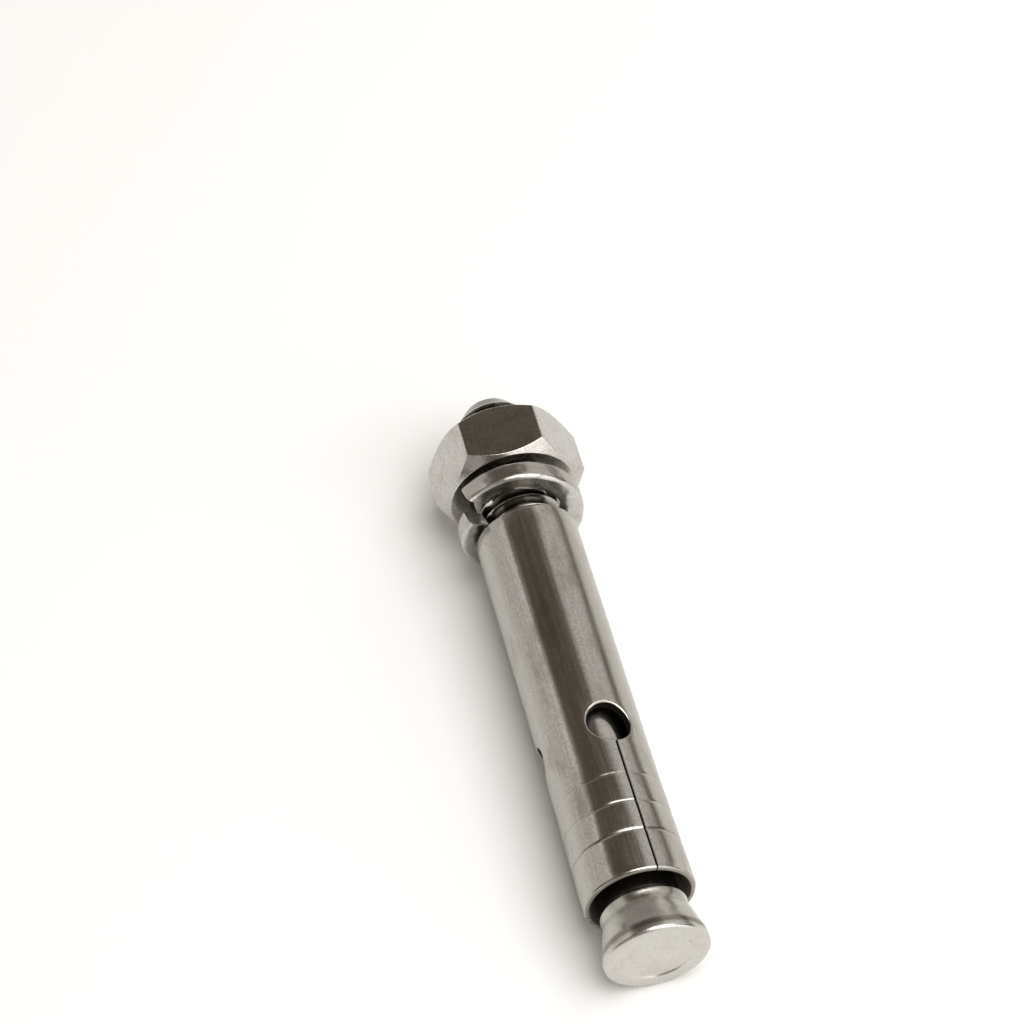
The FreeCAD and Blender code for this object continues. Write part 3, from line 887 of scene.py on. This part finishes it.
nut_shell = grown(repeater, nut_flat_sector(), {"Number": 6, "First angle": 0.0}, nut_steel)
nut_mesh = grown(winder, nut_shell, thread_sizes(
    NUT_MAJOR_RADIUS, NUT_MINOR_RADIUS, NUT_STATION, NUT_STATION + NUT_HEIGHT,
    (NUT_COUNTERSINK_RADIUS, -1.0), (NUT_COUNTERSINK_RADIUS, -1.0),
    NUT_THREAD_FADE, -1.0), nut_steel)
in_place(closed(nut_mesh), "hexagon_nut", "hex_nut", "nut_steel", "nut")


gap_angle = WASHER_GAP / (WASHER_BORE + WASHER_SECTION / 2)
washer_mesh = grown(wire_tree(), made_mesh([], [], "no_body"), {
    "Bore": WASHER_BORE, "Section": WASHER_SECTION, "Round": WASHER_ROUND,
    "Rise": WASHER_RISE, "Low end": WASHER_LOW_END,
    "Wound angle": math.tau - gap_angle,
    "Gap angle": math.radians(WASHER_GAP_ANGLE) - gap_angle / 2,
    "Cut slope": math.tan(math.radians(WASHER_CUT_ANGLE)),
    "Crumple": WASHER_CRUMPLE, "Number around": 57,
    "Number along": WIRE_ROWS + 2 * CAP_ROWS + 1,
    "Cap share": CAP_ROWS / (WIRE_ROWS + 2 * CAP_ROWS),
}, washer_steel)
in_place(closed(washer_mesh), "split_washer", "washer", "washer_steel", "lock_washer")


def wall_radius(from_mouth):
    """Outside of the sleeve: straight, then spreading below the relief holes."""
    return SLEEVE_RADIUS + MOUTH_FLARE * max(0.0, 1 - from_mouth / SPREAD_LENGTH)


def band_rows():
    """Outer wall below the holes, from the mouth up: crowned bands and rolled grooves."""
    rows = []
    edges = (LIP_ROUND,) + GROOVES_FROM_MOUTH + (SPREAD_LENGTH,)
    # A band ends this far from the middle of a groove
    clear = 0.75 * GROOVE_WIDTH
    # Places across a groove, and the share of its depth that is reached there
    groove = ((-0.5, 0.10), (-0.25, 0.55), (0.0, 1.0), (0.25, 0.55), (0.5, 0.10))
    for number, (low, high) in enumerate(zip(edges, edges[1:])):
        topmost = number == len(GROOVES_FROM_MOUTH)
        first = low + clear if number else low
        last = high if topmost else high - clear
        for step in range(7):
            share = step / 6
            off = 1 - share if topmost else 2 * share - 1
            at = first + (last - first) * share
            rows.append((wall_radius(at) - BAND_CROWN * off ** 2, at))
        if not topmost:
            for place, depth in groove:
                at = high + place * GROOVE_WIDTH
                sunk = BAND_CROWN + (GROOVE_DEPTHS[number] - BAND_CROWN) * depth
                rows.append((wall_radius(at) - sunk, at))
    return rows


def sleeve_leaf():
    """One third of the sleeve: a leaf's two halves about a slit and its relief hole.

    The wall is drawn as grids of points that share their edges: rings around the
    hole, strips of rows above and below them, and the cut faces of the slit.
    """
    hole_at = MOUTH_STATION + HOLE_FROM_MOUTH
    block = HOLE_FROM_MOUTH - SPREAD_LENGTH
    block_low, block_high = hole_at - block, hole_at + block
    half_slit = SLIT_WIDTH / 2
    rest = 180 / LEAVES - BLOCK_ANGLE
    inner_columns = [math.radians(BLOCK_ANGLE * k / 9) for k in range(1, 10)]
    outer_columns = [math.radians(BLOCK_ANGLE + rest * k / 7) for k in range(8)]
    side_rows = [block_low + 2 * block * k / 16 for k in range(17)]
    mouth_bore = SLEEVE_RADIUS + MOUTH_FLARE - LIP_ROUND - LIP_FLAT
    points, faces = [], []

    def spot(column, radius, station):
        """Point of a column, which keeps its angle or its distance from the slit's middle."""
        kind, value = column
        angle = value if kind == "angle" else math.asin(value / radius)
        return polar(radius, angle, station)

    def patch(rows):
        """Quads between rows of points."""
        start = len(points)
        width = len(rows[0])
        points.extend(point for row in rows for point in row)
        for r in range(len(rows) - 1):
            for c in range(width - 1):
                a = start + r * width + c
                faces.append([a, a + 1, a + 1 + width, a + width])

    def angles(values):
        """Columns that keep their angle."""
        return [("angle", value) for value in values]

    # Below the holes: outside, round the lip and back up the bore
    lip_centre = (SLEEVE_RADIUS + MOUTH_FLARE - LIP_ROUND, MOUTH_STATION + LIP_ROUND)
    below = [(radius, MOUTH_STATION + at, True) for radius, at in reversed(band_rows())]
    for step in range(1, 7):
        turn = math.pi / 2 * step / 6
        below.append((lip_centre[0] + LIP_ROUND * math.cos(turn),
                      lip_centre[1] - LIP_ROUND * math.sin(turn), False))
    below += [(mouth_bore + 0.06, MOUTH_STATION, False),
              (mouth_bore + 0.015, MOUTH_STATION + 0.03, False)]
    for at in (0.12, MOUTH_TAPER * 0.5, MOUTH_TAPER, MOUTH_TAPER + 4, SPREAD_LENGTH):
        narrowed = min(at / MOUTH_TAPER, 1.0)
        below.append((mouth_bore + (BORE_RADIUS - mouth_bore) * narrowed, MOUTH_STATION + at, False))
    right = [("slit", half_slit), ("slit", half_slit + SLIT_EDGE)]
    right += angles(inner_columns + outer_columns[1:])
    left = [(kind, -value) for kind, value in right]
    for columns in (right, left):
        rows = []
        for radius, station, outside in below:
            worn = SLIT_EDGE if outside else 0.0
            rows.append([spot(column, radius - (worn if number == 0 else 0.0), station)
                         for number, column in enumerate(columns)])
        patch(rows)

    # Above the holes: outside, over the nut end and back down the bore
    top = MOUTH_STATION + SLEEVE_LENGTH
    wall_rows = 14
    wall_step = (top - TOP_CHAMFER - 0.1 - block_high) / wall_rows
    above = [(SLEEVE_RADIUS, block_high + wall_step * k) for k in range(wall_rows + 1)]
    above += [
        (SLEEVE_RADIUS - 0.02, top - TOP_CHAMFER),
        (SLEEVE_RADIUS - 0.06, top - 0.05),
        (SLEEVE_RADIUS - TOP_CHAMFER, top - 0.01),
        (SLEEVE_RADIUS - TOP_CHAMFER - 0.08, top),
        (BORE_RADIUS + TOP_CHAMFER, top),
        (BORE_RADIUS + 0.02, top - TOP_CHAMFER * 0.7),
        (BORE_RADIUS, top - TOP_CHAMFER - 0.05),
        (BORE_RADIUS, (top + block_high) / 2),
        (BORE_RADIUS, block_high),
    ]
    whole = [-v for v in reversed(outer_columns)] + [-v for v in reversed(inner_columns[:-1])]
    whole += [0.0] + inner_columns[:-1] + outer_columns
    patch([[spot(column, radius, station) for column in angles(whole)] for radius, station in above])

    # Beside the holes
    for sign in (1, -1):
        columns = angles([sign * value for value in outer_columns])
        for radius in (SLEEVE_RADIUS, BORE_RADIUS):
            patch([[spot(column, radius, station) for column in columns] for station in side_rows])

    # Rings around the hole, from one face of the slit round to the other
    rim = [(column, block_low) for column in right[:2] + angles(inner_columns)]
    rim += [(("angle", inner_columns[-1]), station) for station in side_rows[1:]]
    rim += [(column, block_high) for column in angles(inner_columns[-2::-1] + [0.0])]
    rim += [(column, block_high) for column in angles([-v for v in inner_columns])]
    rim += [(("angle", -inner_columns[-1]), station) for station in side_rows[-2::-1]]
    rim += [(column, block_low) for column in angles([-v for v in inner_columns[-2::-1]])]
    rim += [(column, block_low) for column in (left[1], left[0])]

    def ring(hole_radius, share, radius, depth):
        """Points between the hole's edge and the rim of its block."""
        row = []
        for number, ((kind, value), station) in enumerate(rim):
            worn = SLIT_EDGE if number in (0, len(rim) - 1) and radius > BORE_RADIUS else 0.0
            here = radius - max(depth * (1 - share), worn)
            if kind == "slit":
                edge = hole_at - math.sqrt(hole_radius ** 2 - value ** 2)
                row.append(spot((kind, value), here, edge + (station - edge) * share))
                continue
            way = math.atan2(station - hole_at, value * SLEEVE_RADIUS)
            edge_angle = math.asin(hole_radius * math.cos(way) / here)
            edge_station = hole_at + hole_radius * math.sin(way)
            row.append(polar(here, edge_angle + (value - edge_angle) * share,
                             edge_station + (station - edge_station) * share))
        return row

    # Broken edge of the hole: widening, share of the way to the rim, and depth
    broken_edge = (
        (0.0, 0.0, HOLE_EDGE + 0.03),
        (0.015, 0.0, HOLE_EDGE - 0.03),
        (0.07, 0.0, 0.05),
        (HOLE_EDGE, 0.0, 0.012),
        (HOLE_EDGE + 0.09, 0.0, 0.0),
        (HOLE_EDGE + 0.09, 0.5, 0.0),
        (HOLE_EDGE + 0.09, 1.0, 0.0),
    )
    outer_rings = [ring(HOLE_RADIUS + wide, share, SLEEVE_RADIUS, depth)
                   for wide, share, depth in broken_edge]
    inner_rings = [ring(HOLE_RADIUS, share, BORE_RADIUS, 0.0) for share in (0.0, 0.35, 0.7, 1.0)]
    patch(outer_rings)
    patch(inner_rings)
    patch([outer_rings[0], inner_rings[0]])

    # Cut faces of the slit
    for end, columns in ((0, right), (-1, left)):
        face = [row[end] for row in outer_rings]
        for radius, station, outside in below:
            face.append(spot(columns[0], radius - (SLIT_EDGE if outside else 0.0), station))
        face += [row[end] for row in reversed(inner_rings)]
        start = len(points)
        points.extend(face)
        faces.append(list(range(start, start + len(face))))
    return made_mesh(points, faces, "sleeve_leaf")


sleeve_mesh = grown(repeater, sleeve_leaf(),
                    {"Number": LEAVES, "First angle": math.radians(HOLE_ANGLE)}, sleeve_steel)
in_place(closed(sleeve_mesh), "slotted_sleeve", "expansion_sleeve", "sleeve_steel", "sleeve",
         sharp=30.0)


def floor_board():
    """Pale floor under the anchor, which isn't part of it."""
    side = 0.6
    board = made_mesh([(-side, -side, 0), (side, -side, 0), (side, side, 0), (-side, side, 0)],
                      [[0, 1, 2, 3]], "floor")
    # Matt white board: even and pale, with hardly any gloss
    paint, tree = new_material("matt_white_board")
    shader = node(tree, "ShaderNodeBsdfPrincipled", {
        "Base Color": srgb("#f4f4f2"), "Roughness": 0.9, "Specular IOR Level": 0.1})
    node(tree, "ShaderNodeOutputMaterial", {0: shader})
    board.materials.append(paint)
    floor = bpy.data.objects.new("floor", board)
    bpy.context.scene.collection.objects.link(floor)


def soft_light(name, place, aim, width, height, watts):
    """Rectangular soft light at a place, facing a point, in metres."""
    lamp = bpy.data.lights.new(name, "AREA")
    lamp.shape = "RECTANGLE"
    lamp.size, lamp.size_y = width, height
    lamp.energy = watts
    holder = bpy.data.objects.new(name, lamp)
    holder.location = place
    holder.rotation_mode = "QUATERNION"
    holder.rotation_quaternion = (Vector(aim) - Vector(place)).to_track_quat("-Z", "Y")
    holder.visible_camera = False
    bpy.context.scene.collection.objects.link(holder)


floor_board()
# The panels on the left and right give the pale stripes along the sleeve, and the
# gap between them its dark middle
soft_light("left_panel", (-0.5, 0.34, 0.235), (0, 0.34, 0.235), 0.72, 0.47, 0.76)
soft_light("left_strip", (-0.49, 0.34, 0.43), (0, 0.34, 0.43), 0.72, 0.07, 0.15)
soft_light("right_panel", (0.4, 0.45, 0.465), (0, 0.45, 0.465), 0.8, 0.71, 1.32)
soft_light("overhead", (0.32, -0.36, 0.75), (0.32, -0.36, 0), 0.76, 1.0, 9.6)
soft_light("back_panel", (0, 0.9, 0.45), (0, 0, 0.45), 1.2, 0.6, 0.80)
soft_light("front_left", (-0.5, -0.55, 0.30), (0, 0, 0), 0.5, 0.4, 0.26)
soft_light("front_right", (0.52, -0.62, 0.30), (0, 0, 0), 1.0, 0.6, 3.1)

world = bpy.data.worlds.new("studio")
world.use_nodes = True
world.node_tree.nodes.clear()
glow = node(world.node_tree, "ShaderNodeBackground", {"Color": srgb("#62584c"), "Strength": 1.0})
node(world.node_tree, "ShaderNodeOutputWorld", {0: glow})
bpy.context.scene.world = world
bpy.context.scene.view_settings.view_transform = "Standard"

lens = bpy.data.cameras.new("camera")
lens.sensor_width = 36.0
lens.lens = 104.9004
lens.clip_start, lens.clip_end = 0.01, 10.0
camera = bpy.data.objects.new("camera", lens)
camera.location = (-0.0232480, -0.1635221, 0.2318482)
camera.rotation_euler = [math.radians(angle) for angle in (38.96884, 5.31064, -13.57712)]
bpy.context.scene.collection.objects.link(camera)
bpy.context.scene.camera = camera
